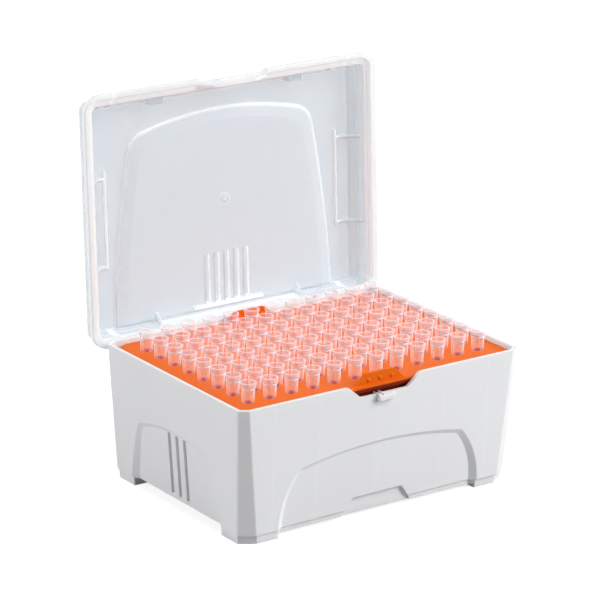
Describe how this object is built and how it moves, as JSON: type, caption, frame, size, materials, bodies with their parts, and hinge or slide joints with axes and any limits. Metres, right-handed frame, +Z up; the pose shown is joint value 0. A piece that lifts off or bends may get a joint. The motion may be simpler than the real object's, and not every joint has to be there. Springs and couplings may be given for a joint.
{
  "type": "box of pipette tips",
  "caption": "Hinged transport box, lid standing open, with an orange tray of clear pipette tips standing in a grid.",
  "frame": {"origin": "on the ground, in the middle of the footprint of the box with its lid open", "axes": "+X to the right along the front, +Y from the front to the hinge at the back, +Z up"},
  "size_m": [0.126, 0.1058, 0.1378],
  "materials": {
    "base_plastic": "satin, slightly milky",
    "lid_clear": "milky translucent, satin",
    "tray_orange": "semi-gloss",
    "tip_clear": "clear, glossy"
  },
  "bodies": {
    "box": {"base": "base_plastic", "tip_tray": "tray_orange", "tips_column_01": "tip_clear", "tips_column_02": "tip_clear", "tips_column_03": "tip_clear", "tips_column_04": "tip_clear", "tips_column_05": "tip_clear", "tips_column_06": "tip_clear", "tips_column_07": "tip_clear", "tips_column_08": "tip_clear", "tips_column_09": "tip_clear", "tips_column_10": "tip_clear", "tips_column_11": "tip_clear", "tips_column_12": "tip_clear"},
    "lid": {"lid": "lid_clear"}
  },
  "joints": [
    {"name": "lid_hinge", "type": "hinge", "parent": "box", "child": "lid", "pos_m": [0, 0.03672, 0.0479], "axis": [1, 0, 0], "range_deg": [0, 93.5]}
  ]
}
